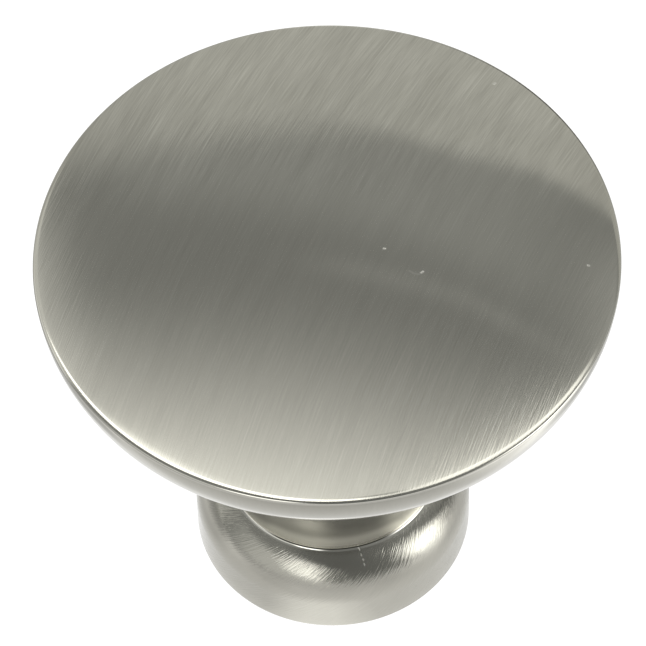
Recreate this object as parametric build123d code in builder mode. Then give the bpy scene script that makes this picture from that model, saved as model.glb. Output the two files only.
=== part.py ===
from build123d import *
from math import asin, atan2, degrees, hypot, sqrt
import os

# Round knob for a cabinet door or drawer: one zinc casting, turned about the Z axis.
# Origin at the centre of the foot, which sits on the door. +Z runs out of the door to the face.

# Driving dimensions, in millimetres
head_diameter = 32.0
projection = 28.0
face_rise = 2.25
edge_chamfer = 0.15
underside_radius = 5.5
hollow_radius = 10.5
neck_diameter = 12.1
foot_diameter = 15.86
foot_height = 5.45
foot_wall = 2.5
foot_chamfer = 0.35
screw_hole_diameter = 3.45
screw_hole_depth = 13.0
drill_tip_height = 1.0
hole_mouth_diameter = 4.4
hole_mouth_angle = 90

# Radii and heights of the section that follow from them
head_radius = head_diameter / 2
neck_radius = neck_diameter / 2
foot_radius = foot_diameter / 2
rim_height = projection - face_rise
face_radius = (head_radius**2 + face_rise**2) / (2 * face_rise)

# The underside is an ogee: a hollow arc leaves the neck upright at the foot, a straight flank runs on
# from it, and a round arc ends upright at the rim. The flank is the line that touches both arcs.
arc_radii = hollow_radius + underside_radius
centre_run = arc_radii - (head_radius - neck_radius)
centre_rise = rim_height - foot_height
centre_distance = hypot(centre_run, centre_rise)
sweep_angle = degrees(asin(arc_radii / centre_distance) - atan2(centre_run, centre_rise))
flank_length = sqrt(centre_distance**2 - arc_radii**2)


def corner_at(radius, height):
    """The corner of the half section that lies nearest to a radius and a height."""
    corners = half_section.vertices()
    return corners.sort_by(lambda corner: hypot(corner.X - radius, corner.Y - height))[0]


os.makedirs("parts", exist_ok=True)

with BuildPart() as knob:
    with BuildSketch(Plane.XZ) as half_section:
        with BuildLine():
            bottom = Line((0, 0), (foot_radius, 0))
            wall = Line(bottom @ 1, (foot_radius, foot_wall))
            shoulder = TangentArc(wall @ 1, (neck_radius, foot_height), tangent=wall % 1)
            hollow = JernArc(shoulder @ 1, (0, 1), hollow_radius, -sweep_angle)
            flank = PolarLine(hollow @ 1, flank_length, direction=hollow % 1)
            underside = JernArc(flank @ 1, flank % 1, underside_radius, sweep_angle)
            face = RadiusArc(underside @ 1, (0, projection), -face_radius)
            Line(face @ 1, bottom @ 0)
        make_face()
        # Sharp edges are broken round the face and under the foot; the crease above the foot stays sharp
        chamfer(corner_at(head_radius, rim_height), edge_chamfer)
        chamfer(corner_at(foot_radius, 0), foot_chamfer)
    revolve(axis=Axis.Z)

    # Blind hole for the fixing screw, at the thread's core diameter, with an eased mouth and a drill tip
    with Locations(Location((0, 0, 0), (180, 0, 0))):
        CounterSinkHole(
            screw_hole_diameter / 2, hole_mouth_diameter / 2, screw_hole_depth, hole_mouth_angle
        )
    with Locations((0, 0, screw_hole_depth)):
        Cone(
            screw_hole_diameter / 2,
            0,
            drill_tip_height,
            align=(Align.CENTER, Align.CENTER, Align.MIN),
            mode=Mode.SUBTRACT,
        )

knob.part.label = "knob"
export_step(knob.part, "parts/knob.step")
print("knob volume, cubic millimetres:", round(knob.part.volume, 1))
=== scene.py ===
# %% [markdown]
# # A round cabinet knob in satin nickel
# This lesson dresses one small casting: a cabinet knob with a gently domed face, a trumpet-shaped neck
# and a rounded foot. The solid model gives the size and the place. Blender gives the looks. Everything is
# in metres, in the solid model's own frame: the foot stands on z = 0 and the face looks along +Z.

# %% Load the frame and keep its box
from math import atan2, cos, hypot, radians, sin, sqrt

import bpy
import numpy as np
from mathutils import Matrix, Vector


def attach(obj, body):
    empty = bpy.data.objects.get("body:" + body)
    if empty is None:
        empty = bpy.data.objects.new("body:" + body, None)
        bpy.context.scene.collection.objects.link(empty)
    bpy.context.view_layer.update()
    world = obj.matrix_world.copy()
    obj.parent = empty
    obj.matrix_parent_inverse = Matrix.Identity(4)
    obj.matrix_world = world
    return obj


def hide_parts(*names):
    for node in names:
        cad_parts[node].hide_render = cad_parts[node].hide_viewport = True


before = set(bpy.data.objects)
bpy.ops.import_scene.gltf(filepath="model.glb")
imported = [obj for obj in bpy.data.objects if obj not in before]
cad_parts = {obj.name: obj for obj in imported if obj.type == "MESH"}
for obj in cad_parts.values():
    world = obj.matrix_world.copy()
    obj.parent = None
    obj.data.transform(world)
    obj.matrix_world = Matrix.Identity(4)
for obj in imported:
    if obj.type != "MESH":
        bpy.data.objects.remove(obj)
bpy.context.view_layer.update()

MM = 0.001

# %% [markdown]
# ## The camera
# The photograph looks down on the knob from about 54 degrees, through a long lens, so the round face shows
# as a slightly flattened ellipse. A camera can be placed by eye, or from measured values. Here the values
# are measured: focal length in pixels, distance in millimetres, height angle and a small roll of the frame.

# %% Place the camera
FRAME_PIXELS = 646
FOCAL_PIXELS = 5000.0
SENSOR_WIDTH = 36.0
CAMERA_DISTANCE = 272.06
CAMERA_ELEVATION = radians(54.46)
CAMERA_ROLL = radians(1.451)
CLIP_START = 10
TARGET_HEIGHT = 25.25
TARGET_PIXEL_X, TARGET_PIXEL_Y = 326.99, 261.32

middle = FRAME_PIXELS / 2
backward = Vector((0, -cos(CAMERA_ELEVATION), sin(CAMERA_ELEVATION)))
rightward = Vector((1, 0, 0))
upright = Matrix((rightward, backward.cross(rightward), backward))
sight = Vector((TARGET_PIXEL_X - middle, middle - TARGET_PIXEL_Y, -FOCAL_PIXELS)).normalized()
off_centre = Vector((0, 0, -1)).rotation_difference(sight).to_matrix()
world_to_camera = off_centre @ Matrix.Rotation(CAMERA_ROLL, 3, "Z") @ upright
eye = Vector((0, 0, TARGET_HEIGHT)) + backward * CAMERA_DISTANCE

camera = bpy.data.objects.new("camera", bpy.data.cameras.new("camera"))
camera.matrix_world = Matrix.Translation(eye * MM) @ world_to_camera.transposed().to_4x4()
camera.data.sensor_width = SENSOR_WIDTH
camera.data.lens = FOCAL_PIXELS * SENSOR_WIDTH / FRAME_PIXELS
camera.data.clip_start = CLIP_START * MM
bpy.context.scene.collection.objects.link(camera)
bpy.context.scene.camera = camera
print("camera lens, mm:", round(camera.data.lens, 1))

# %% [markdown]
# ## The half section
# The real knob is die-cast in zinc, then turned, brushed and plated. It is round about its axis, so one
# half section says everything about its shape. It could be drawn by hand as a curve. Here it is worked
# out from circles that touch each other, as a maker's drawing would give it, so every join is smooth.
# Two small rounds catch the light: the buffing wheel wears the rim's edge to a soft round that ends in a
# tight turn, and plating fills the bottom of the crease above the foot.

# %% Sizes of the section, in millimetres
HEAD_RADIUS = 16.0
PROJECTION = 28.0
FACE_RISE = 2.25
BUFF_RADIUS = 0.95
BUFF_TILT = radians(31)
EDGE_ROUND = 0.15
UNDERSIDE_RADIUS = 5.5
HOLLOW_RADIUS = 10.5
NECK_RADIUS = 6.05
FOOT_RADIUS = 7.93
FOOT_HEIGHT = 5.45
FOOT_WALL = 2.5
CREASE_ROUND = 0.2
FOOT_EDGE_ROUND = 0.35
BORE_RADIUS = 1.725
BORE_DEPTH = 13.0
DRILL_TIP = 1.0
MOUTH_RADIUS = 2.2

rim_height = PROJECTION - FACE_RISE
face_radius = (HEAD_RADIUS**2 + FACE_RISE**2) / (2 * FACE_RISE)
shoulder_width, shoulder_rise = FOOT_RADIUS - NECK_RADIUS, FOOT_HEIGHT - FOOT_WALL
shoulder_radius = (shoulder_width**2 + shoulder_rise**2) / (2 * shoulder_width)
print("face radius and shoulder radius, mm:", round(face_radius, 2), round(shoulder_radius, 2))


# %% Circles that touch
def arc(centre, radius, start, end, count):
    """Points on a circle: the centre plus the radius times the cosine and sine of a running angle."""
    turn = np.radians(np.linspace(start, end, count))
    return np.asarray(centre) + radius * np.stack([np.cos(turn), np.sin(turn)], axis=-1)


def run(start, end, count):
    """Points on a straight line, evenly spaced from start to end."""
    return np.linspace(start, end, count)


def heading(centre, point):
    """Angle in degrees of the line from a circle's centre to a point."""
    return np.degrees(atan2(point[1] - centre[1], point[0] - centre[0]))


def crossing(centre_a, radius_a, centre_b, radius_b):
    """Where two circles cross, to the right of the line from a to b: along that line to the chord, then
    half the chord to the right. Circles shrunk or grown by a round's radius cross at the round's centre."""
    line = np.subtract(centre_b, centre_a)
    gap = hypot(*line)
    along = (radius_a**2 - radius_b**2 + gap**2) / (2 * gap)
    aside = sqrt(radius_a**2 - along**2)
    ahead = line / gap
    return centre_a + along * ahead + aside * np.array([ahead[1], -ahead[0]])


dome = np.array([0.0, PROJECTION - face_radius])
underside = np.array([HEAD_RADIUS - UNDERSIDE_RADIUS, rim_height])
hollow = np.array([NECK_RADIUS + HOLLOW_RADIUS, FOOT_HEIGHT])
shoulder = np.array([FOOT_RADIUS - shoulder_radius, FOOT_WALL])
tight_turn = (BUFF_RADIUS - EDGE_ROUND) * np.array([sin(BUFF_TILT), cos(BUFF_TILT)])
buff = crossing(dome, face_radius - BUFF_RADIUS, underside - tight_turn, UNDERSIDE_RADIUS - EDGE_ROUND)
rim_edge = buff + tight_turn
crease = crossing(hollow, HOLLOW_RADIUS - CREASE_ROUND, shoulder, shoulder_radius + CREASE_ROUND)
arcs_apart = hollow - underside
lean = np.arcsin((HOLLOW_RADIUS + UNDERSIDE_RADIUS) / hypot(*arcs_apart))
sweep = np.degrees(lean - atan2(arcs_apart[0], -arcs_apart[1]))
print("centres of the rim's edge and the crease, mm:", rim_edge.round(3), crease.round(3))

# %% [markdown]
# The section is walked from the middle of the face outwards, down under the rim, along the neck and the
# foot, and up into the screw hole. Each run gets as many points as its bend needs, so the reflections
# stay smooth. The names of the runs are kept, because the finish differs along the way.

# %% Walk the section
POINTS = {
    "face": 48,
    "buff": 8,
    "rim": 14,
    "underside": 24,
    "flank": 14,
    "neck": 24,
    "crease": 14,
    "shoulder": 36,
    "wall": 5,
    "foot edge": 8,
    "bottom": 5,
    "mouth": 3,
    "bore": 130,
    "drill tip": 6,
}
buff_start, buff_end = heading(dome, buff), heading(buff, rim_edge)
rim_end, crease_start = heading(underside, rim_edge), heading(hollow, crease)
crease_end = heading(shoulder, crease)
foot_edge = (FOOT_RADIUS - FOOT_EDGE_ROUND, FOOT_EDGE_ROUND)
mouth_depth = MOUTH_RADIUS - BORE_RADIUS

face_run = arc(dome, face_radius, 90, buff_start, POINTS["face"])
underside_run = arc(underside, UNDERSIDE_RADIUS, rim_end, -sweep, POINTS["underside"])
hollow_run = arc(hollow, HOLLOW_RADIUS, 180 - sweep, crease_start, POINTS["neck"])
shoulder_run = arc(shoulder, shoulder_radius, crease_end, 0, POINTS["shoulder"])
foot_edge_run = arc(foot_edge, FOOT_EDGE_ROUND, 0, -90, POINTS["foot edge"])
runs = {
    "face": face_run,
    "buff": arc(buff, BUFF_RADIUS, buff_start, buff_end, POINTS["buff"]),
    "rim": arc(rim_edge, EDGE_ROUND, buff_end, rim_end, POINTS["rim"]),
    "underside": underside_run,
    "flank": run(underside_run[-1], hollow_run[0], POINTS["flank"]),
    "neck": hollow_run,
    "crease": arc(crease, CREASE_ROUND, crease_start, 180 + crease_end, POINTS["crease"]),
    "shoulder": shoulder_run,
    "wall": run(shoulder_run[-1], foot_edge_run[0], POINTS["wall"]),
    "foot edge": foot_edge_run,
    "bottom": run(foot_edge_run[-1], (MOUTH_RADIUS, 0), POINTS["bottom"]),
    "mouth": run((MOUTH_RADIUS, 0), (BORE_RADIUS, mouth_depth), POINTS["mouth"]),
    "bore": run((BORE_RADIUS, mouth_depth), (BORE_RADIUS, BORE_DEPTH), POINTS["bore"]),
    "drill tip": run((BORE_RADIUS, BORE_DEPTH), (0, BORE_DEPTH + DRILL_TIP), POINTS["drill tip"]),
}
section = np.concatenate([face_run[:1]] + [part[1:] for part in runs.values()])
section[0, 0] = section[-1, 0] = 0.0
ends = np.cumsum([len(part) - 1 for part in runs.values()])
last_row = dict(zip(runs, ends.tolist()))
print("points on the section:", len(section), "of which on the face and its edge:", last_row["rim"])

# %% [markdown]
# ## The screw thread
# A knob of this size takes an 8-32 machine screw, with a thread every 0.794 mm. The solid model stops at
# the tap drill's size. A thread could be bump only, but it is a real shape, so it is cut outwards from
# the drilled wall here: a groove that climbs once round per pitch, fading out at both ends of the hole.

# %% Depth of the thread all round the hole
SEGMENTS = 256
FIRST_COLUMN_ANGLE = 90.0
THREAD_PITCH = 0.794
THREAD_DEPTH = 0.34
THREAD_FADE = 0.8


def smoothstep(low, high, value):
    """0 below low, 1 above high, and an even S-curve between them. With low above high it falls instead."""
    share = np.clip((value - low) / (high - low), 0, 1)
    return share * share * (3 - 2 * share)


angles = np.radians(FIRST_COLUMN_ANGLE + np.arange(SEGMENTS + 1) * 360 / SEGMENTS)
radius, height = section[:, :1], section[:, 1:]
in_bore = np.isclose(radius, BORE_RADIUS) & (height > mouth_depth)
fade = smoothstep(mouth_depth, mouth_depth + THREAD_FADE, height)
fade = fade * smoothstep(BORE_DEPTH, BORE_DEPTH - 2 * THREAD_FADE, height)
climb = height / THREAD_PITCH - angles / (2 * np.pi)
thread_cut = np.abs(2 * (climb - np.floor(climb)) - 1)
grid_radius = radius + np.where(in_bore, THREAD_DEPTH * thread_cut * fade, 0)
print("largest radius of the thread, mm:", round(float(grid_radius[in_bore[:, 0]].max()), 3))

# %% [markdown]
# ## Turning the section
# Blender has a Screw modifier and a Spin tool for turned shapes. A grid worked out with numpy does the
# same and keeps the rows and columns at hand: rows follow the section, columns go round the axis. The
# two end points lie on the axis, so each becomes one pole, closed by a fan of triangles.


# %% Faces between rings of points
def ring_faces(first, rings, columns):
    """Four corners of each face between one ring and the next: here, the same place on the next ring, the
    point beside that, and the point beside here. Points are counted ring by ring, starting from first."""
    here = np.arange(columns)
    beside = (here + 1) % columns
    start = first + columns * np.arange(rings)[:, None]
    near, far = start[:-1], start[1:]
    return np.stack([near + here, far + here, far + beside, near + beside], axis=-1).reshape(-1, 4)


def fan_faces(tip, first, columns):
    """Three corners of each face between one point and a ring: the tip, here, and the point beside here."""
    here = np.arange(columns)
    return np.stack([0 * here + tip, first + here, first + (here + 1) % columns], axis=-1)


# %% Turn it round the axis
SHARP_ANGLE = radians(28)
TIP_TURNED_OVER = [1, 0, 2]

rows = len(section)
grid = np.stack(
    [grid_radius * np.cos(angles), grid_radius * np.sin(angles), height + 0 * grid_radius],
    axis=-1,
)
rings = grid[1:-1, :-1]
points = np.concatenate([grid[:1, 0], rings.reshape(-1, 3), grid[-1:, 0]]) * MM
last_point = len(points) - 1
quads = ring_faces(1, rows - 2, SEGMENTS)
top_fan = fan_faces(0, 1, SEGMENTS)
tip_fan = fan_faces(last_point, last_point - SEGMENTS, SEGMENTS)[:, TIP_TURNED_OVER]

knob_mesh = bpy.data.meshes.new("satin_nickel_knob")
knob_mesh.from_pydata(points.tolist(), [], quads.tolist() + top_fan.tolist() + tip_fan.tolist())
knob_mesh.polygons.foreach_set("use_smooth", np.ones(len(knob_mesh.polygons), dtype=bool))
knob_mesh.set_sharp_from_angle(angle=SHARP_ANGLE)
knob_mesh.update()
print("knob's vertices and faces:", len(points), len(knob_mesh.polygons))

# %% [markdown]
# ## Which way the brush went
# The face was brushed on a wide wheel, so its strokes are long, nearly straight arcs. The sides were
# brushed while the knob turned, so there the strokes climb round the neck and the foot like a screw line.
# A UV map keeps this: U counts millimetres across the strokes and V counts millimetres along them. On the
# sides V is counted faster, because the strokes are shorter there.

# %% Lay a UV map along the brushing
WHEEL_RADIUS = 200.0
STROKE_ANGLE = radians(66)
FOOT_STROKE_ANGLE = radians(48)
SIDE_RADIUS = 7.0
SIDE_SHORTENING = 2.0

wheel = WHEEL_RADIUS * np.array([sin(STROKE_ANGLE), -cos(STROKE_ANGLE)])
from_wheel = grid[..., :2] - wheel
wheel_distance = np.hypot(from_wheel[..., 0], from_wheel[..., 1])
wheel_turn = np.arctan2(from_wheel[..., 1], -from_wheel[..., 0])
face_uv = np.stack([wheel_distance, -WHEEL_RADIUS * wheel_turn], axis=-1)
step = np.hypot(np.diff(section[:, 0], prepend=0), np.diff(section[:, 1], prepend=section[0, 1]))
walked = np.cumsum(step)[:, None]
round_way = SIDE_RADIUS * angles + 0 * walked
neck_uv = np.stack([-round_way, -walked * SIDE_SHORTENING + 0 * round_way], axis=-1)
foot_uv = np.stack(
    [
        -round_way * sin(FOOT_STROKE_ANGLE) - walked * cos(FOOT_STROKE_ANGLE),
        SIDE_SHORTENING * (round_way * cos(FOOT_STROKE_ANGLE) - walked * sin(FOOT_STROKE_ANGLE)),
    ],
    axis=-1,
)


def corners(uv, first, last):
    """UV of the four corners of each quad between two rows, in the order in which the quads were made."""
    part = uv[first:last]
    here, down = part[:-1], part[1:]
    return np.stack([here[:, :-1], down[:, :-1], down[:, 1:], here[:, 1:]], axis=2).reshape(-1, 2)


def fan(uv, pole, ring, order):
    """UV of the three corners of each triangle of a fan, in the order in which the fan was made."""
    tip = np.broadcast_to(uv[pole, :1], uv[pole, :-1].shape)
    picks = {"tip": tip, "here": uv[ring, :-1], "next": uv[ring, 1:]}
    return np.stack([picks[name] for name in order], axis=1).reshape(-1, 2)


brushing = np.concatenate(
    [
        corners(face_uv, 1, last_row["rim"] + 1),
        corners(neck_uv, last_row["rim"], last_row["neck"] + 1),
        corners(foot_uv, last_row["neck"], rows - 1),
        fan(face_uv, 0, 1, ("tip", "here", "next")),
        fan(foot_uv, rows - 1, rows - 2, ("here", "tip", "next")),
    ]
)
uv_map = knob_mesh.uv_layers.new(name="brushing")
uv_map.data.foreach_set("uv", brushing.astype(np.float32).ravel())
print("UV corners laid:", len(brushing), "of", len(uv_map.data))

# %% [markdown]
# ## Where the finish changes
# A wheel doesn't press equally hard everywhere. The far part of the face is scratched deeper than the
# near part, the rim's edge is buffed nearly smooth, the foot is scratched deepest, and the crease stays as
# plated, because no wheel gets into it. Painted masks could hold this. One number for each mesh point does
# it too, needs no picture, and stays with the mesh. The shader reads these numbers by their names.


# %% Keep numbers on the mesh
def store(name, values):
    """Keeps one value per mesh point: the middle of the face, then ring by ring, then the drill tip."""
    per_point = np.concatenate([values[:1, 0], values[1:-1, :-1].ravel(), values[-1:, 0]])
    kept = knob_mesh.attributes.new(name, "FLOAT", "POINT")
    kept.data.foreach_set("value", per_point.astype(np.float32))
    print(name, "from", per_point.min().round(2), "to", per_point.max().round(2))


row = np.arange(rows)[:, None]
on_face, on_neck = row <= last_row["rim"], row <= last_row["neck"]
on_edge = slice(last_row["buff"], last_row["rim"] + 1)
in_crease = slice(last_row["neck"], last_row["crease"] + 1)
underneath = slice(last_row["foot edge"], rows)
x_mm, y_mm = grid[..., 0], grid[..., 1]
print("first rows of the edge, crease and bottom:", on_edge.start, in_crease.start, underneath.start)

# %% How deep the strokes are, and how much they tint
# Places are in millimetres: a pair says where a change starts and where it is complete
FACE_DEPTH, NECK_DEPTH, FOOT_DEPTH = 0.3, 0.3, 2.4
EDGE_DEPTH, HIDDEN_DEPTH = 0.12, 0.3
FAR_EXTRA, FAR_Y = 0.55, (1, 8)
NEAR_RIGHT_EXTRA, NEAR_RIGHT_X, NEAR_RIGHT_Y = 0.16, (-3, 6), (-4, -11)
NECK_STROKES_Z, FOOT_STROKES_Z = (6.2, 7.2), (5.42, 5.15)
SIDE_TINT = 0.12

near_right = smoothstep(*NEAR_RIGHT_X, x_mm) * smoothstep(*NEAR_RIGHT_Y, y_mm)
face_depth = FACE_DEPTH + FAR_EXTRA * smoothstep(*FAR_Y, y_mm) + NEAR_RIGHT_EXTRA * near_right
neck_depth = NECK_DEPTH * smoothstep(*NECK_STROKES_Z, height)
foot_depth = FOOT_DEPTH * smoothstep(*FOOT_STROKES_Z, height)
brush_depth = np.where(on_face, face_depth, np.where(on_neck, neck_depth, foot_depth))
brush_depth[on_edge] = EDGE_DEPTH
brush_depth[underneath] = HIDDEN_DEPTH
store("brush_depth", brush_depth)
store("stroke_tint", np.where(on_face, face_depth, SIDE_TINT))

# %% How rough the plate is
# The wheel reaches less and less far down the neck, so the plate is duller there
FACE_ROUGHNESS, FOOT_ROUGHNESS = 0.115, 0.14
EDGE_ROUGHNESS, CREASE_ROUGHNESS = 0.08, 0.05
NECK_EXTRA, DULLER_Z = 0.215, (23, 10)

neck_roughness = FACE_ROUGHNESS + NECK_EXTRA * smoothstep(*DULLER_Z, height)
roughness = np.where(on_neck, neck_roughness, FOOT_ROUGHNESS) + 0 * angles
roughness[on_edge] = EDGE_ROUGHNESS
roughness[in_crease] = CREASE_ROUGHNESS
store("roughness", roughness)

# %% [markdown]
# ## Painted shade on the plate
# The plate's colour is darkened where shade and dark reflections fall: a dark line in the front of the
# crease, high on the neck under the head, and low on the foot, most at its flanks. It is painted shade, so
# it only darkens the metal's colour, and one number from 0 for none to 1 for full is enough.


# %% Painted shade in the crease, on the neck and on the foot
def stepped(base, changes, value):
    """A base plus one change after another: each is an amount that comes in softly between two places."""
    return base + sum(amount * smoothstep(start, full, value) for amount, start, full in changes)


FRONT_ANGLE = 270
CREASE_ROWS = 6
CREASE_LEFT, CREASE_RIGHT = (-44, -30), (40, 26)
NECK_SHADE, NECK_SHADE_CHANGES = 0.27, [(0.2, 30, 42)]
NECK_SHADE_Z, NECK_SHADE_Z_CHANGES, NECK_SHADE_FADE = 6.4, [(-0.8, 30, 42)], 1
NECK_SHADE_TOP = (20, 14)
FOOT_SHADE, FOOT_SHADE_CHANGES = 0.06, [(0.08, 12, 30), (0.17, -16, -32)]
LESS_NEAR_BOTTOM, NEAR_BOTTOM_Z = 0.45, (1.8, 0.2)
FOOT_SHADE_Z, FOOT_SHADE_Z_CHANGES, FOOT_SHADE_FADE = 2.8, [(1.1, 8, 24)], 0.4
FLANK_SHADE, FLANK_TURN, FLANK_Z = 0.22, (50, 62), (2.9, 3.9)
UNDERNEATH_SHADE = 0.1

from_front = np.degrees(angles) - FRONT_ANGLE
to_side = np.abs(from_front)
in_groove = (row > last_row["neck"]) & (row <= last_row["neck"] + CREASE_ROWS)
# Painted shade: a dark line low in the crease, across the front
crease_shade = in_groove * smoothstep(*CREASE_LEFT, from_front) * smoothstep(*CREASE_RIGHT, from_front)

# Painted shade high on the neck under the head, a little more towards the sides
neck_shade_start = stepped(NECK_SHADE_Z, NECK_SHADE_Z_CHANGES, to_side)
neck_shade = stepped(NECK_SHADE, NECK_SHADE_CHANGES, to_side) * smoothstep(*NECK_SHADE_TOP, height)
neck_shade = neck_shade * smoothstep(neck_shade_start, neck_shade_start + NECK_SHADE_FADE, height)

# Painted shade low on the foot: more to the sides and on the flanks, less near the bottom
foot_shade_end = stepped(FOOT_SHADE_Z, FOOT_SHADE_Z_CHANGES, to_side)
foot_shade = stepped(FOOT_SHADE, FOOT_SHADE_CHANGES, from_front)
foot_shade = foot_shade * (1 - LESS_NEAR_BOTTOM * smoothstep(*NEAR_BOTTOM_Z, height))
foot_shade = foot_shade * smoothstep(foot_shade_end + FOOT_SHADE_FADE, foot_shade_end - FOOT_SHADE_FADE, height)
foot_shade += FLANK_SHADE * smoothstep(*FLANK_TURN, to_side) * smoothstep(*FLANK_Z, height)

shade_share = neck_shade * (on_neck & ~on_face) + foot_shade * ~on_neck
shade_share = np.maximum(crease_shade, shade_share)
# Painted shade underneath: the bottom and the screw hole
shade_share[underneath] = UNDERNEATH_SHADE
store("painted_shade", shade_share)

# %% [markdown]
# ## Satin nickel
# Nickel plate is a slightly warm grey metal. Brushing before plating leaves fine scratches side by side,
# so reflections smear across the strokes and stay sharp along them. The shader's anisotropy gives that
# smear. Bump from a long thin noise gives the strokes that the eye can pick out.


# %% Helpers for materials
def linear(code):
    """A colour such as #C0C0C0 turned from sRGB to the linear values that a shader reads."""
    shares = np.array([int(code[i : i + 2], 16) for i in (1, 3, 5)]) / 255
    values = np.where(shares <= 0.04045, shares / 12.92, ((shares + 0.055) / 1.055) ** 2.4)
    return (*values.tolist(), 1.0)


def add(tree, kind, sockets, **settings):
    """Adds a node: settings are its properties, sockets gives each input a value or a link."""
    made = tree.nodes.new(kind)
    for name, value in settings.items():
        setattr(made, name, value)
    for name, value in sockets.items():
        if isinstance(value, bpy.types.NodeSocket):
            tree.links.new(value, made.inputs[name])
        else:
            made.inputs[name].default_value = value
    return made


# %% Strokes of the brush
# Satin nickel: nickel plated over zinc that was brushed with an abrasive wheel. To the eye it is a soft,
# slightly warm grey with fine lines. Real strokes are 0.02 to 0.03 mm wide, too fine to show in the
# picture, so they are drawn three to four times as wide. A few stray strokes are bright. Passes are the
# broad bands that the wheel left side by side.
STROKE_WIDTH, STROKE_LENGTH, STROKE_DETAIL = 0.085, 2.4, 2.0
STRAY_WIDTH, STRAY_LENGTH, STRAY_DETAIL = 0.1, 5.0, 0.0
STRAY_FROM, STRAY_FULL, STRAY_LIGHTNESS = 0.7, 0.85, 0.14
PASS_WIDTH, PASS_LENGTH, PASS_DETAIL = 0.9, 9.0, 1.0
PASS_STRENGTH = 0.5
GRAIN_ROUGHNESS = 0.6
NOISE_MIDDLE = 0.5

nickel = bpy.data.materials.new("satin_nickel")
nickel.use_nodes = True
tree = nickel.node_tree
brush_uv = add(tree, "ShaderNodeUVMap", {}, uv_map="brushing").outputs["UV"]
depth = add(tree, "ShaderNodeAttribute", {}, attribute_name="brush_depth").outputs["Fac"]
tint_share = add(tree, "ShaderNodeAttribute", {}, attribute_name="stroke_tint").outputs["Fac"]


def stroke_noise(width, length, detail):
    """Noise stretched along V, so that each of its grains is a stroke of about this width and length."""
    scale = (1 / width, 1 / length, 1)
    stretched = add(tree, "ShaderNodeMapping", {"Vector": brush_uv, "Scale": scale}).outputs["Vector"]
    sockets = {"Vector": stretched, "Scale": 1.0, "Detail": detail, "Roughness": GRAIN_ROUGHNESS}
    return add(tree, "ShaderNodeTexNoise", sockets, noise_dimensions="2D").outputs["Fac"]


grain = stroke_noise(STROKE_WIDTH, STROKE_LENGTH, STROKE_DETAIL)
stroke = add(tree, "ShaderNodeMath", {0: grain, 1: NOISE_MIDDLE}, operation="SUBTRACT").outputs["Value"]
strokes = add(tree, "ShaderNodeMath", {0: stroke, 1: depth}, operation="MULTIPLY").outputs["Value"]
stray = add(
    tree,
    "ShaderNodeMapRange",
    {
        "Value": stroke_noise(STRAY_WIDTH, STRAY_LENGTH, STRAY_DETAIL),
        "From Min": STRAY_FROM,
        "From Max": STRAY_FULL,
        "To Max": STRAY_LIGHTNESS,
    },
).outputs["Result"]
stray_light = add(tree, "ShaderNodeMath", {0: stray, 1: tint_share}, operation="MULTIPLY").outputs["Value"]
passes = add(
    tree,
    "ShaderNodeMapRange",
    {
        "Value": stroke_noise(PASS_WIDTH, PASS_LENGTH, PASS_DETAIL),
        "To Min": -PASS_STRENGTH / 2,
        "To Max": PASS_STRENGTH / 2,
    },
).outputs["Result"]
print("a stroke's width in the picture, pixels:", round(STROKE_WIDTH * FOCAL_PIXELS / CAMERA_DISTANCE, 1))

# %% Colour of the plate
# The strokes' walls turn away from the light, so a stroke shows as a lighter and a darker line. Where the
# metal isn't brushed, it keeps the plating's even and lighter grey.
NICKEL_LIGHT = "#CCCAC0"
NICKEL_DARK = "#A2A097"
NICKEL_SMOOTH = "#E0DED5"
MIDDLE_TINT = 0.5
FULLY_BRUSHED = 0.3

pattern = add(tree, "ShaderNodeMath", {0: stroke, 1: passes}, operation="ADD").outputs["Value"]
tint_sockets = {0: pattern, 1: tint_share, 2: MIDDLE_TINT}
lightness = add(tree, "ShaderNodeMath", tint_sockets, operation="MULTIPLY_ADD").outputs["Value"]
tint = add(
    tree,
    "ShaderNodeMix",
    {"Factor": lightness, "A": linear(NICKEL_DARK), "B": linear(NICKEL_LIGHT)},
    data_type="RGBA",
).outputs["Result"]
brushed = add(tree, "ShaderNodeMapRange", {"Value": depth, "From Max": FULLY_BRUSHED}).outputs["Result"]
plate = add(
    tree,
    "ShaderNodeMix",
    {"Factor": brushed, "A": linear(NICKEL_SMOOTH), "B": tint},
    data_type="RGBA",
).outputs["Result"]
print("nodes for strokes and colour:", len(tree.nodes))

# %% [markdown]
# ## Marks from handling
# A used knob has a few small marks: here a scratch that skips down the foot in four dashes, and nicks on
# the face, one of them with a faint bent tail. They could be cut into the mesh, but each is only a pixel or
# two wide. So the shader measures how far a point is from a short line, and turns bright and rough there.


# %% Short lines on the surface
def line_mark(start, end, half_width, strength):
    """The strength on the line from start to end, falling to 0 at half_width from it, all in millimetres.
    A point's share of the way along the line is kept between 0 and 1, and the distance is taken from the
    spot at that share."""
    way = (Vector(end) - Vector(start)) * MM
    from_start = add(
        tree, "ShaderNodeVectorMath", {0: place, 1: Vector(start) * MM}, operation="SUBTRACT"
    ).outputs["Vector"]
    share = add(
        tree, "ShaderNodeVectorMath", {0: from_start, 1: way / way.length_squared}, operation="DOT_PRODUCT"
    ).outputs["Value"]
    kept = add(tree, "ShaderNodeClamp", {"Value": share}).outputs["Result"]
    nearest = add(
        tree, "ShaderNodeVectorMath", {0: way, "Scale": kept}, operation="SCALE"
    ).outputs["Vector"]
    away = add(
        tree, "ShaderNodeVectorMath", {0: from_start, 1: nearest}, operation="DISTANCE"
    ).outputs["Value"]
    fall = {"Value": away, "From Max": half_width * MM, "To Min": strength, "To Max": 0.0}
    return add(tree, "ShaderNodeMapRange", fall).outputs["Result"]


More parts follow.
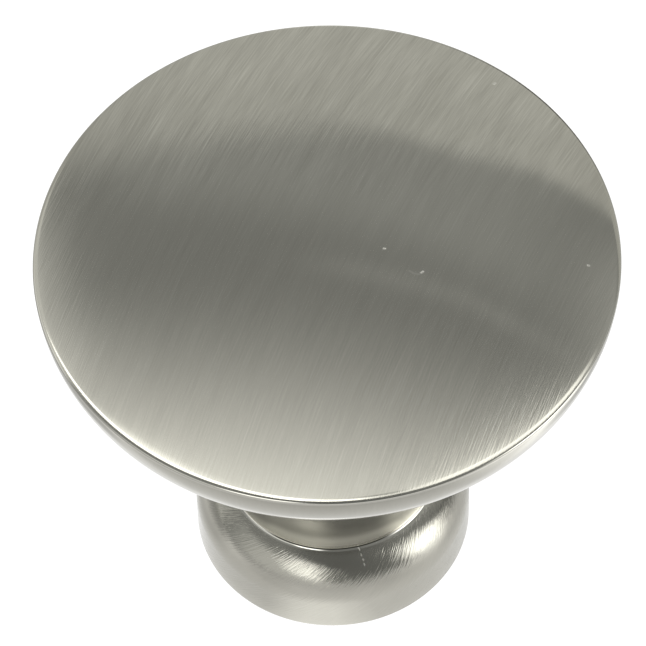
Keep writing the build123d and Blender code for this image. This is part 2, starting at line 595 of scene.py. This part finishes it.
# Each mark: its two ends, half its width and its strength
NICKEL_BRIGHT = "#F4F2EA"
SCRATCH, NICK = 0.07, 0.11
CLEAR, NEARLY_CLEAR, FAINT = 1.0, 0.95, 0.22
MARKS = [
    ((1.37, -5.93, 5.43), (1.45, -6.06, 5.35), SCRATCH, CLEAR),
    ((1.53, -6.26, 5.22), (1.55, -6.32, 5.18), SCRATCH, CLEAR),
    ((1.62, -6.47, 5.07), (1.64, -6.53, 5.02), SCRATCH, CLEAR),
    ((1.68, -6.68, 4.88), (1.70, -6.74, 4.82), SCRATCH, CLEAR),
    ((9.52, 11.20, 26.09), (9.58, 11.28, 26.09), NICK, CLEAR),
    ((3.08, -1.15, 27.90), (3.14, -1.14, 27.90), NICK, CLEAR),
    ((14.10, -1.42, 26.24), (14.16, -1.42, 26.23), NICK, CLEAR),
    ((5.04, -2.67, 27.71), (5.14, -2.60, 27.71), NICK, NEARLY_CLEAR),
    ((4.43, -2.58, 27.77), (4.66, -2.73, 27.75), NICK, FAINT),
    ((4.66, -2.73, 27.75), (4.93, -2.77, 27.72), NICK, FAINT),
]
place = add(tree, "ShaderNodeTexCoord", {}).outputs["Object"]
marks = 0.0
for start, end, half_width, strength in MARKS:
    mark = line_mark(start, end, half_width, strength)
    marks = add(tree, "ShaderNodeMath", {0: marks, 1: mark}, operation="MAXIMUM").outputs["Value"]
bright = add(tree, "ShaderNodeMath", {0: marks, 1: stray_light}, operation="MAXIMUM").outputs["Value"]
marked = add(
    tree,
    "ShaderNodeMix",
    {"Factor": bright, "A": plate, "B": linear(NICKEL_BRIGHT)},
    data_type="RGBA",
).outputs["Result"]
print("marks on the knob:", len(MARKS))

# %% [markdown]
# ## The shader
# Everything meets in one Principled BSDF: a metal with the default IOR, its colour darkened by the painted
# shade, its roughness from the mesh and the marks, and its highlights drawn out across the strokes. The
# Tangent node reads the UV map, so the highlights turn with the brushing. The bump is as deep as a coarse
# stroke.

# %% Brushed shader
# The dark colour that the painted shade darkens the plate towards
PAINTED_SHADE_COLOUR = "#38372F"
STROKE_DEPTH = 0.006
MARK_ROUGHNESS = 0.7
ANISOTROPY = 0.8

# Painted shade: the plate's colour is mixed towards the dark colour by the stored share
painted_shade = add(tree, "ShaderNodeAttribute", {}, attribute_name="painted_shade").outputs["Fac"]
colour = add(
    tree,
    "ShaderNodeMix",
    {"Factor": painted_shade, "A": marked, "B": linear(PAINTED_SHADE_COLOUR)},
    data_type="RGBA",
)
satin = add(tree, "ShaderNodeAttribute", {}, attribute_name="roughness").outputs["Fac"]
rough_marks = add(tree, "ShaderNodeMath", {0: marks, 1: MARK_ROUGHNESS}, operation="MULTIPLY")
scuffed = add(tree, "ShaderNodeMath", {0: satin, 1: rough_marks.outputs["Value"]}, operation="MAXIMUM")
tangent = add(tree, "ShaderNodeTangent", {}, direction_type="UV_MAP", uv_map="brushing")
bump = add(tree, "ShaderNodeBump", {"Height": strokes, "Strength": 1.0, "Distance": STROKE_DEPTH * MM})

shader = tree.nodes["Principled BSDF"]
shader.inputs["Metallic"].default_value = 1.0
shader.inputs["Anisotropic"].default_value = ANISOTROPY
tree.links.new(colour.outputs["Result"], shader.inputs["Base Color"])
tree.links.new(scuffed.outputs["Value"], shader.inputs["Roughness"])
tree.links.new(tangent.outputs["Tangent"], shader.inputs["Tangent"])
tree.links.new(bump.outputs["Normal"], shader.inputs["Normal"])
print("nodes in the nickel:", len(tree.nodes))

# %% [markdown]
# ## The knob takes the solid's place
# The dressed mesh has the solid's section, so it can stand for it. It sits at the origin with its place in
# its mesh, rides on the one body, and takes the satin nickel.

# %% Put the knob in its frame
knob = bpy.data.objects.new("satin_nickel_knob", knob_mesh)
knob_mesh.materials.append(nickel)
bpy.context.scene.collection.objects.link(knob)
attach(knob, "root")
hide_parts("knob")

# %% [markdown]
# ## The light table
# Small metal goods are often photographed on a sheet of opal acrylic that is lit from below, so the ground
# turns white and casts no hard shadow. To the camera the sheet is one even white. Metal sees more: in its
# reflections the tubes under the sheet show as brighter and dimmer zones. One sheet could do both, but its
# zones would show as grey bands. So a plain white sheet is there for the camera, and a lamp panel at the
# same level is there for the reflections alone.


# %% Discs for the stage
def stage_disc(name, radius, rings, segments):
    """A flat disc: rings of evenly spaced points round a middle point."""
    turn = np.arange(segments) * 2 * np.pi / segments
    reach = np.linspace(0, radius, rings + 1)[1:, None]
    flat = np.stack([reach * np.cos(turn), reach * np.sin(turn), 0 * reach * turn], axis=-1).reshape(-1, 3)
    spots = np.concatenate([np.zeros((1, 3)), flat])
    faces = fan_faces(0, 1, segments).tolist() + ring_faces(1, rings, segments).tolist()
    mesh = bpy.data.meshes.new(name)
    mesh.from_pydata(spots.tolist(), [], faces)
    made = bpy.data.objects.new(name, mesh)
    bpy.context.scene.collection.objects.link(made)
    return made


TABLE_RADIUS = 1.4
TABLE_RINGS, TABLE_SEGMENTS = 8, 96
TABLE_GAP = 0.02

table = stage_disc("light_table", TABLE_RADIUS, TABLE_RINGS, TABLE_SEGMENTS)
table.location.z = -2 * TABLE_GAP * MM
table.visible_glossy = False
lamp_panel = stage_disc("lamp_panel", TABLE_RADIUS, TABLE_RINGS, TABLE_SEGMENTS)
lamp_panel.location.z = -TABLE_GAP * MM
lamp_panel.visible_camera = False
lamp_panel.visible_diffuse = False
print("light table's radius, m:", TABLE_RADIUS)

# %% Acrylic that glows
# Acrylic is cast with white pigment, which spreads the light of the tubes: the eye sees no lamp, only glow
ACRYLIC_GREY = "#5A5A5A"
ACRYLIC_ROUGHNESS = 0.6
WHITE = "#FFFFFF"


def acrylic(name):
    """A material for a sheet of acrylic with a satin top that glows white from within."""
    made = bpy.data.materials.new(name)
    made.use_nodes = True
    sheet = made.node_tree.nodes["Principled BSDF"]
    sheet.inputs["Base Color"].default_value = linear(ACRYLIC_GREY)
    sheet.inputs["Roughness"].default_value = ACRYLIC_ROUGHNESS
    sheet.inputs["Emission Color"].default_value = linear(WHITE)
    sheet.inputs["Emission Strength"].default_value = 1.0
    made.cycles.emission_sampling = "NONE"
    return made


opal = acrylic("opal_acrylic")
table.data.materials.append(acrylic("white_acrylic"))
lamp_panel.data.materials.append(opal)
print("acrylic sheets:", table.active_material.name, lamp_panel.active_material.name)

# %% Zones of the lamp panel
# Each zone: what it is measured along, from and to in millimetres, and the glow at both ends
ZONES = [
    ("Y", -40, -9, 0.47, 0.94),  # fades forwards from the foot
    ("Y", -12, -9.5, 0.88, 1.0),  # loses a little more just in front of the foot
    ("Y", -60, -45, 2.0, 1.0),  # a second tube, further forward
    ("Y", -140, -105, 0.55, 1.0),  # where that tube ends
    ("X", -60, -19, 0.55, 1.0),  # fades to the left
    ("to spot", 1, 3.8, 1.4, 1.0),  # a hot spot at the front of the foot
]
# Each patch: the change it makes to the glow, and the soft steps that bound it, in millimetres
PATCHES = [
    (0.85, [("X", 14, 26), ("Y", -42, -16), ("Y", 2, -8)]),  # a lamp to the right of the front
    (-0.38, [("to side", 19.8, 24), ("Y", -9, -4)]),  # dimmer beside the knob and behind it
]
SPOT = Vector((-1, -8.5, 0)) * MM

opal_tree = opal.node_tree
ground = add(opal_tree, "ShaderNodeTexCoord", {}).outputs["Object"]
axes = add(opal_tree, "ShaderNodeSeparateXYZ", {"Vector": ground}).outputs
aside = add(opal_tree, "ShaderNodeMath", {0: axes["X"]}, operation="ABSOLUTE")
from_spot = add(opal_tree, "ShaderNodeVectorMath", {0: ground, 1: SPOT}, operation="DISTANCE")
measures = {
    "X": axes["X"],
    "Y": axes["Y"],
    "to side": aside.outputs["Value"],
    "to spot": from_spot.outputs["Value"],
}

panel_glow = 1.0
for measure, start, end, low, high in ZONES:
    reach = {"Value": measures[measure], "From Min": start * MM, "From Max": end * MM}
    zone = add(opal_tree, "ShaderNodeMapRange", {**reach, "To Min": low, "To Max": high})
    sockets = {0: panel_glow, 1: zone.outputs["Result"]}
    panel_glow = add(opal_tree, "ShaderNodeMath", sockets, operation="MULTIPLY").outputs["Value"]
for change, bounds in PATCHES:
    patch = change
    for measure, start, end in bounds:
        reach = {"Value": measures[measure], "From Min": start * MM, "From Max": end * MM}
        bound = add(opal_tree, "ShaderNodeMapRange", reach, interpolation_type="SMOOTHSTEP")
        sockets = {0: patch, 1: bound.outputs["Result"]}
        patch = add(opal_tree, "ShaderNodeMath", sockets, operation="MULTIPLY").outputs["Value"]
    sockets = {0: panel_glow, 1: patch, 2: panel_glow}
    panel_glow = add(opal_tree, "ShaderNodeMath", sockets, operation="MULTIPLY_ADD").outputs["Value"]
opal_tree.links.new(panel_glow, opal_tree.nodes["Principled BSDF"].inputs["Emission Strength"])
print("nodes in the lamp panel:", len(opal_tree.nodes))

# %% [markdown]
# ## The light tent
# Metal shows what is round it more than it shows itself. A tent of pale cloth, brighter where lamps shine
# on it, gives the long soft bands that run over the face and the foot. It could be a set of area lights.
# One dome with a brightness worked out for each direction is easier to shape. Directions are measured in
# degrees: azimuth round from straight behind the knob, elevation up from the level, sideways to the right
# of the plane through the axis and the camera, and overhead in that plane, from behind over the top. Tilt
# and facing tell how a spot of metal leans when it mirrors that direction into the lens.

# %% Directions on the dome
TENT_RADIUS = 1.3
TENT_COLUMNS, TENT_ROWS = 360, 92
TENT_LOW, TENT_HIGH = -1, 89.5

turn_round = np.radians(np.arange(TENT_COLUMNS) * 360 / TENT_COLUMNS)
climb_up = np.radians(np.linspace(TENT_LOW, TENT_HIGH, TENT_ROWS))[:, None]
toward = np.stack(
    [
        np.sin(turn_round) * np.cos(climb_up),
        np.cos(turn_round) * np.cos(climb_up),
        np.sin(climb_up) + 0 * turn_round,
    ],
    axis=-1,
)
azimuth = np.degrees(np.arctan2(toward[..., 0], toward[..., 1]))
elevation = np.degrees(np.arcsin(toward[..., 2]))
sideways = np.degrees(np.arcsin(toward[..., 0]))
overhead = np.degrees(np.arctan2(toward[..., 2], toward[..., 1]))
halfway = toward + np.array(backward)
tilt = np.degrees(np.arccos(halfway[..., 2] / np.linalg.norm(halfway, axis=-1)))
facing = np.degrees(np.arctan2(halfway[..., 0], halfway[..., 1]))
print("directions on the dome:", azimuth.size)


# %% Helpers for lamps
def window(value, low, high, edge):
    """1 between low and high, falling to 0 over the edge's width on both sides."""
    half = edge / 2
    return smoothstep(low - half, low + half, value) * smoothstep(high + half, high - half, value)


def from_azimuth(centre):
    """Degrees round from a centre direction, from -180 to 180."""
    return (azimuth - centre + 180) % 360 - 180


def shine(brightness, tone):
    """Adds a lamp to the cloth: its brightness in each direction times the three shares of its tone."""
    glow[...] += brightness[..., None] * np.array(linear(tone)[:3])


WARM, NEUTRAL, COOL = "#FFFEF6", "#FFFFFD", "#FDFFFD"
glow = np.zeros(toward.shape)
print("tones of the lamps:", WARM, NEUTRAL, COOL)

# %% [markdown]
# In the values below, a pair of degrees is a soft step: where it starts and where it is complete. Three
# degrees are a window: its two ends and the width of its soft edges. A change in a list is an amount with
# its step.

# %% Ceiling
# The cloth overhead gives the middle of the face its even grey. It is a little brighter just above the
# backdrop and darker round the camera, which stands in front of it.
CEILING_GLOW = 0.325
LOW_CEILING_GLOW, LOW_CEILING_LEAN = 0.1, 0.4
LOW_CEILING_TOP, LOW_CEILING_SIDES = (58, 48), (-20, 22, 10)
FRONT_LOSS, FRONT_AZIMUTH, FRONT_SIDES = 0.09, 175, (-50, 45, 30)
CAMERA_SHADE, CAMERA_AZIMUTH = 0.2, 180
CAMERA_SIDES, CAMERA_HEIGHTS = (-28, 28, 24), (12, 66, 14)

low_ceiling = smoothstep(*LOW_CEILING_TOP, overhead - LOW_CEILING_LEAN * sideways)
low_ceiling *= window(sideways, *LOW_CEILING_SIDES)
ceiling = CEILING_GLOW + LOW_CEILING_GLOW * low_ceiling
ceiling -= FRONT_LOSS * window(from_azimuth(FRONT_AZIMUTH), *FRONT_SIDES)
behind_camera = window(from_azimuth(CAMERA_AZIMUTH), *CAMERA_SIDES) * window(elevation, *CAMERA_HEIGHTS)
ceiling *= 1 - CAMERA_SHADE * behind_camera
shine(ceiling, COOL)
print("ceiling's brightness from", ceiling.min().round(2), "to", ceiling.max().round(2))

# %% Backdrop
# A warm sheet hangs behind the knob. It lights the far part of the face, and its top edge, which isn't
# level, is the line where that light ends.
BACKDROP_TOP, BACKDROP_TOP_CHANGES = 39.1, [(2.7, 4, 12), (3.4, 19, 30), (-2.6, -13, -24)]
BACKDROP_EDGE, BACKDROP_EDGE_CHANGES = 1.2, [(6, -5, -18)]
BACKDROP_GLOW, BACKDROP_SIDE_CHANGES = 0.28, [(0.06, 12, 24), (-0.04, -9, -16)]
BACKDROP_UPPER_CHANGES = [(-0.045, 26, 37)]
BACKDROP_SIDES = (-85, 85, 20)

backdrop_top = stepped(BACKDROP_TOP, BACKDROP_TOP_CHANGES, sideways)
half_edge = stepped(BACKDROP_EDGE, BACKDROP_EDGE_CHANGES, sideways) / 2
backdrop = smoothstep(backdrop_top + half_edge, backdrop_top - half_edge, overhead)
backdrop *= window(azimuth, *BACKDROP_SIDES)
backdrop_glow = stepped(BACKDROP_GLOW, BACKDROP_SIDE_CHANGES, sideways)
backdrop *= stepped(backdrop_glow, BACKDROP_UPPER_CHANGES, overhead)
shine(backdrop, WARM)
print("backdrop's brightness, at most:", backdrop.max().round(2))

# %% Softbox
# A big lamp over the camera fades in towards the front and whitens the near part of the face. It ends
# where the rim's tight turn begins, a little earlier at the left.
LAMP_END, LAMP_END_DROP, LAMP_END_FACING = 28.8, 3.2, (-172, -160)
SOFTBOX_GLOW = 1.15
SOFTBOX_LEAN, SOFTBOX_START, SOFTBOX_RISE = 0.28, 60, 32
SOFTBOX_FRONT, SOFTBOX_END = (121, 113), (0.7, -1.1)
RIGHT_LOSS, RIGHT_LOSS_SIDE, RIGHT_LOSS_START = 0.95, (1, 7), (88, 96)

lamp_end = LAMP_END - LAMP_END_DROP * smoothstep(*LAMP_END_FACING, facing) * (facing < 0)
past_end = tilt - lamp_end
softbox = np.clip((overhead - SOFTBOX_LEAN * sideways - SOFTBOX_START) / SOFTBOX_RISE, 0, 1) ** 2
softbox *= smoothstep(*SOFTBOX_FRONT, overhead) * smoothstep(*SOFTBOX_END, past_end)
softbox *= 1 - RIGHT_LOSS * smoothstep(*RIGHT_LOSS_SIDE, sideways) * smoothstep(*RIGHT_LOSS_START, overhead)
shine(SOFTBOX_GLOW * softbox, NEUTRAL)
print("softbox, share of the dome that it lights:", (softbox > 0).mean().round(3))

# %% Edge lamps
# Two narrow lamps low in front show only in the rim's buffed edge, as the white line along it
EDGE_LAMP_GLOW = 2.0
EDGE_LAMP_START, EDGE_LAMP_FRONT, EDGE_LAMP_END = (100, 104), (122, 114), (0.8, -0.8)
LEFT_EDGE_SIDE = (11, 5)
RIGHT_EDGE_SHARE, RIGHT_EDGE_SIDE, RIGHT_EDGE_FACING = 0.8, (8, 14), (114, 126)
FILL_GLOW = 0.25
FILL_SIDES, FILL_START, FILL_END = (10, 40, 6), (92, 99), (30, 28.5)

left_edge = smoothstep(*EDGE_LAMP_START, overhead - np.minimum(sideways, 0))
left_edge *= smoothstep(*LEFT_EDGE_SIDE, sideways)
right_edge = smoothstep(*EDGE_LAMP_START, overhead + sideways)
right_edge *= smoothstep(*RIGHT_EDGE_SIDE, sideways) * smoothstep(*RIGHT_EDGE_FACING, facing)
edge_lamps = (left_edge + RIGHT_EDGE_SHARE * right_edge) * smoothstep(*EDGE_LAMP_END, past_end)
shine(EDGE_LAMP_GLOW * edge_lamps * smoothstep(*EDGE_LAMP_FRONT, overhead), NEUTRAL)
fill = window(sideways, *FILL_SIDES) * smoothstep(*FILL_START, overhead) * smoothstep(*FILL_END, tilt)
shine(FILL_GLOW * fill, NEUTRAL)
print("edge lamps and fill, at most:", edge_lamps.max().round(2), fill.max().round(2))

# %% Side lamps
# The cloth at the sides brightens the face towards its left and right ends. Each entry is a glow, a step
# sideways and a window overhead. The wall and the lamp at the left show in the foot.
SIDE_GLOWS = [
    (0.6, (-24, -31), (30, 75, 20)),
    (0.085, (-17, -24), (61, 84, 12)),
    (0.2, (23, 30), (50, 85, 16)),
]
WALL_GLOW, WALL_START, WALL_END, WALL_HEIGHTS = 0.5, (86, 128), (178, 166), (-5, 36, 10)
LEFT_LAMP_GLOW, LEFT_LAMP_AZIMUTH = 1.45, -157
LEFT_LAMP_SIDES, LEFT_LAMP_HEIGHTS = (-11, 11, 8), (10, 42, 8)

for side_glow, side_step, side_height in SIDE_GLOWS:
    shine(side_glow * smoothstep(*side_step, sideways) * window(overhead, *side_height), NEUTRAL)
left_round = np.mod(-azimuth, 360)
wall = smoothstep(*WALL_START, left_round) * smoothstep(*WALL_END, left_round)
shine(WALL_GLOW * wall * window(elevation, *WALL_HEIGHTS), NEUTRAL)
left_lamp = window(from_azimuth(LEFT_LAMP_AZIMUTH), *LEFT_LAMP_SIDES)
shine(LEFT_LAMP_GLOW * left_lamp * window(elevation, *LEFT_LAMP_HEIGHTS), NEUTRAL)
print("brightness so far, at most:", glow.max().round(2))

# %% Right lamp
# A strong strip lamp leans at the right. It gives the foot and the neck their bright slanting band.
RIGHT_LAMP_GLOW, RIGHT_LAMP_AZIMUTH, RIGHT_LAMP_LEAN = 2.9, 104, 0.6
RIGHT_LAMP_START, RIGHT_LAMP_END = (-22, -8), (30, 12)
RIGHT_LAMP_TOP, RIGHT_LAMP_TOP_LIMIT, RIGHT_LAMP_TOP_EDGE = 26, 28, (4, -5)
RIGHT_LAMP_FOOT, RIGHT_LAMP_FOOT_EDGE = -14, (-10, 10)

lamp_turn = from_azimuth(RIGHT_LAMP_AZIMUTH)
lamp_top = np.minimum(RIGHT_LAMP_TOP + RIGHT_LAMP_LEAN * lamp_turn, RIGHT_LAMP_TOP_LIMIT)
lamp_foot = RIGHT_LAMP_FOOT + RIGHT_LAMP_LEAN * lamp_turn
right_lamp = smoothstep(*RIGHT_LAMP_START, lamp_turn) * smoothstep(*RIGHT_LAMP_END, lamp_turn)
right_lamp *= smoothstep(*RIGHT_LAMP_TOP_EDGE, elevation - lamp_top)
right_lamp *= smoothstep(*RIGHT_LAMP_FOOT_EDGE, elevation - lamp_foot)
shine(RIGHT_LAMP_GLOW * right_lamp, NEUTRAL)
print("right lamp's height at its middle, degrees:", RIGHT_LAMP_TOP - RIGHT_LAMP_FOOT)

# %% Horizon, seam and shade
# The cloth is brighter where it meets the table in front. A seam in it shows as a thin bright streak on the
# face. Low down at the right of the back it hangs in shade.
HORIZON_GLOW, HORIZON_AZIMUTH = 0.2, 180
HORIZON_SIDES, HORIZON_TOP = (-110, 30, 40), (7, 2)
SEAM_GLOW, SEAM_HEIGHT, SEAM_HALF_WIDTH = 0.09, 59.9, 1.2
SEAM_BENDS, SEAM_SIDES = [(0.23, 1), (0.25, 14)], (-1, 24, 8)
SHADE, SHADE_AZIMUTH, SHADE_SIDES, SHADE_TOP = 0.85, 55, (-40, 40, 20), (15, 8)

horizon = window(from_azimuth(HORIZON_AZIMUTH), *HORIZON_SIDES) * smoothstep(*HORIZON_TOP, elevation)
shine(HORIZON_GLOW * horizon, NEUTRAL)
seam_line = SEAM_HEIGHT + sum(slope * np.maximum(sideways - start, 0) for slope, start in SEAM_BENDS)
seam = np.exp(-(((overhead - seam_line) / SEAM_HALF_WIDTH) ** 2)) * window(sideways, *SEAM_SIDES)
shine(SEAM_GLOW * seam, NEUTRAL)
shade = window(from_azimuth(SHADE_AZIMUTH), *SHADE_SIDES) * smoothstep(*SHADE_TOP, elevation)
glow *= 1 - SHADE * shade[..., None]
print("tent brightness from", glow.min().round(2), "to", glow.max().round(2))

# %% [markdown]
# The dome is built like the discs: rings of points, faces between them and a cap on top. Its faces look
# inwards. Woven polyester lets lamplight through from outside and spreads it, so to the eye the cloth is
# nothing but soft light, and an Emission shader is enough. The brightness is kept on the points, and the
# camera doesn't see the tent itself.

# %% Build the tent
LOOK_INWARDS, CAP_INWARDS = [0, 3, 2, 1], [1, 2, 0]

crown = [[0, 0, TENT_RADIUS]]
tent_points = np.concatenate([(toward * TENT_RADIUS).reshape(-1, 3), crown])
top_point = len(tent_points) - 1
tent_quads = ring_faces(0, TENT_ROWS, TENT_COLUMNS)[:, LOOK_INWARDS]
tent_cap = fan_faces(top_point, top_point - TENT_COLUMNS, TENT_COLUMNS)[:, CAP_INWARDS]
tent_mesh = bpy.data.meshes.new("light_tent")
tent_mesh.from_pydata(tent_points.tolist(), [], tent_quads.tolist() + tent_cap.tolist())
point_glow = np.concatenate([glow.reshape(-1, 3), glow[-1].mean(axis=0, keepdims=True)])
tent_glow = tent_mesh.attributes.new("glow", "FLOAT_VECTOR", "POINT")
tent_glow.data.foreach_set("vector", point_glow.astype(np.float32).ravel())
tent = bpy.data.objects.new("light_tent", tent_mesh)
bpy.context.scene.collection.objects.link(tent)
tent.visible_camera = False

cloth = bpy.data.materials.new("tent_cloth")
cloth.use_nodes = True
cloth_tree = cloth.node_tree
cloth_tree.nodes.remove(cloth_tree.nodes["Principled BSDF"])
cloth_glow = add(cloth_tree, "ShaderNodeAttribute", {}, attribute_name="glow").outputs["Vector"]
lit_cloth = add(cloth_tree, "ShaderNodeEmission", {"Color": cloth_glow, "Strength": 1.0})
cloth_tree.links.new(lit_cloth.outputs["Emission"], cloth_tree.nodes["Material Output"].inputs["Surface"])
cloth.cycles.emission_sampling = "NONE"
tent_mesh.materials.append(cloth)
print("tent's faces:", len(tent_mesh.polygons))

# %% [markdown]
# ## Room and tone
# The camera looks past the tent into a white room. The Standard view shows each brightness as it is, so
# the white sheet comes out as the picture's white.

# %% Room behind the tent and the picture's tone
room = bpy.data.worlds.new("room")
room.use_nodes = True
room.node_tree.nodes["Background"].inputs["Color"].default_value = linear(WHITE)
bpy.context.scene.world = room
bpy.context.scene.view_settings.view_transform = "Standard"
print("view transform:", bpy.context.scene.view_settings.view_transform)
